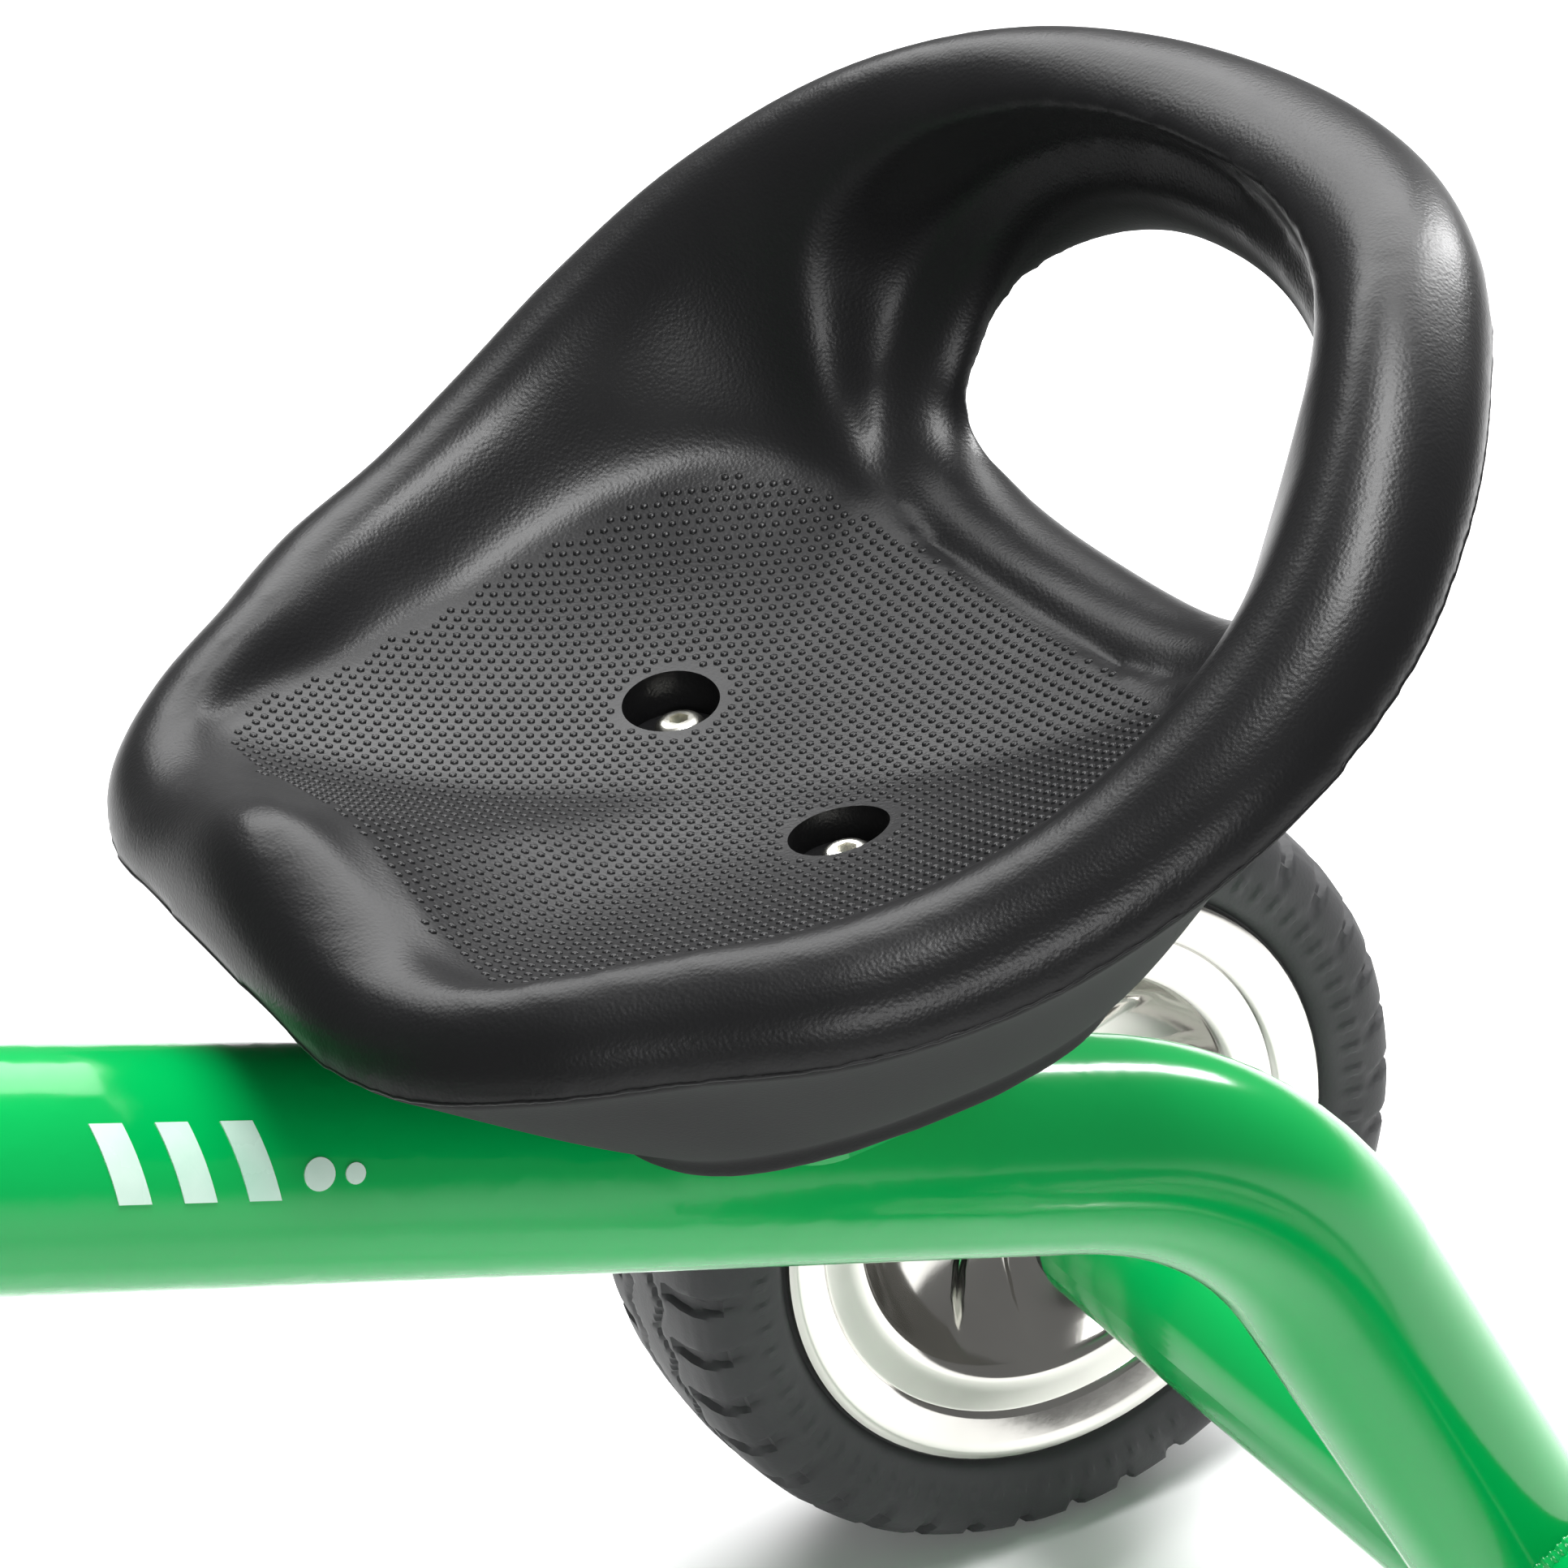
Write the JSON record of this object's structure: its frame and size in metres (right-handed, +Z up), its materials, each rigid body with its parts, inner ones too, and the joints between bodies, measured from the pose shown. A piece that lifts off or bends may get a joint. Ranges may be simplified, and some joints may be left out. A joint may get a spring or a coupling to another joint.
{
  "type": "pedal go kart",
  "caption": "Child's four-wheel pedal go kart: bent spine tube, bucket seat with a hand hole, turning front yoke with a direct-drive pedal crank and steering wheel.",
  "frame": {"origin": "on the ground, midway between the two axles, on the centre plane", "axes": "+X forward, +Y to the rider's left, +Z up"},
  "size_m": [0.9326, 0.5782, 0.6299],
  "materials": {
    "green_paint": "gloss",
    "seat_plastic": "satin, fine leather-like grain",
    "zinc_steel": "zinc plated",
    "bright_steel": "bright drawn bar",
    "black_nylon": "moulded, satin",
    "tyre_rubber": "matt rubber",
    "chrome_rim": "polished plating",
    "grip_rubber": "soft matt",
    "pedal_plastic": "moulded, satin",
    "cap_plastic": "gloss"
  },
  "bodies": {
    "frame": {"spine_tube": "green_paint", "rear_axle_tube": "green_paint", "head_tube": "green_paint", "head_bushing_upper": "black_nylon", "head_bushing_lower": "black_nylon", "rear_axle_rod": "bright_steel", "seat_shell": "seat_plastic", "seat_bolts": "zinc_steel", "seat_washers": "zinc_steel", "seat_nuts": "zinc_steel", "seat_bracket_left": "green_paint", "seat_bracket_right": "green_paint", "rear_left_end_bush": "black_nylon", "rear_right_end_bush": "black_nylon", "rear_axle_washers": "zinc_steel", "rear_axle_nuts": "zinc_steel"},
    "steering": {"steering_column": "green_paint", "yoke_hoop": "green_paint", "bearing_housing_left": "green_paint", "bearing_housing_right": "green_paint", "crank_bush_left": "black_nylon", "crank_bush_right": "black_nylon", "column_ring_upper": "zinc_steel", "column_ring_lower": "zinc_steel", "hand_wheel_core": "bright_steel", "hand_wheel_grip": "grip_rubber", "hand_wheel_cap": "cap_plastic", "hand_wheel_bolt": "zinc_steel", "hand_wheel_nut": "zinc_steel"},
    "crank": {"crankshaft": "bright_steel", "crank_spacers": "bright_steel", "drive_pin": "zinc_steel", "front_axle_washers": "zinc_steel", "front_axle_nuts": "zinc_steel", "front_left_tyre": "tyre_rubber", "front_left_rim": "chrome_rim", "front_left_bushes": "black_nylon", "front_left_cap": "cap_plastic"},
    "front_right_wheel": {"front_right_tyre": "tyre_rubber", "front_right_rim": "chrome_rim", "front_right_bushes": "black_nylon", "front_right_cap": "cap_plastic"},
    "rear_left_wheel": {"rear_left_tyre": "tyre_rubber", "rear_left_rim": "chrome_rim", "rear_left_bushes": "black_nylon", "rear_left_cap": "cap_plastic"},
    "rear_right_wheel": {"rear_right_tyre": "tyre_rubber", "rear_right_rim": "chrome_rim", "rear_right_bushes": "black_nylon", "rear_right_cap": "cap_plastic"},
    "left_pedal": {"left_pedal_top": "pedal_plastic", "left_pedal_bottom": "pedal_plastic", "left_pedal_screws": "zinc_steel"},
    "right_pedal": {"right_pedal_top": "pedal_plastic", "right_pedal_bottom": "pedal_plastic", "right_pedal_screws": "zinc_steel"}
  },
  "joints": [
    {"name": "steering_turn", "type": "hinge", "parent": "frame", "child": "steering", "pos_m": [0.345, 0, 0.1213], "axis": [-0.3746, 0, 0.9272], "range_deg": [-35, 35]},
    {"name": "crank_spin", "type": "hinge", "parent": "steering", "child": "crank", "pos_m": [0.345, 0, 0.1213], "axis": [0, 1, 0], "continuous": true},
    {"name": "front_right_wheel_spin", "type": "hinge", "parent": "crank", "child": "front_right_wheel", "pos_m": [0.345, -0.252, 0.1213], "axis": [0, 1, 0], "continuous": true},
    {"name": "rear_left_wheel_spin", "type": "hinge", "parent": "frame", "child": "rear_left_wheel", "pos_m": [-0.345, 0.252, 0.1213], "axis": [0, 1, 0], "continuous": true},
    {"name": "rear_right_wheel_spin", "type": "hinge", "parent": "frame", "child": "rear_right_wheel", "pos_m": [-0.345, -0.252, 0.1213], "axis": [0, 1, 0], "continuous": true},
    {"name": "left_pedal_spin", "type": "hinge", "parent": "crank", "child": "left_pedal", "pos_m": [0.41463, 0.085, 0.17005], "axis": [0, 1, 0], "continuous": true},
    {"name": "right_pedal_spin", "type": "hinge", "parent": "crank", "child": "right_pedal", "pos_m": [0.27537, -0.085, 0.07255], "axis": [0, 1, 0], "continuous": true}
  ]
}
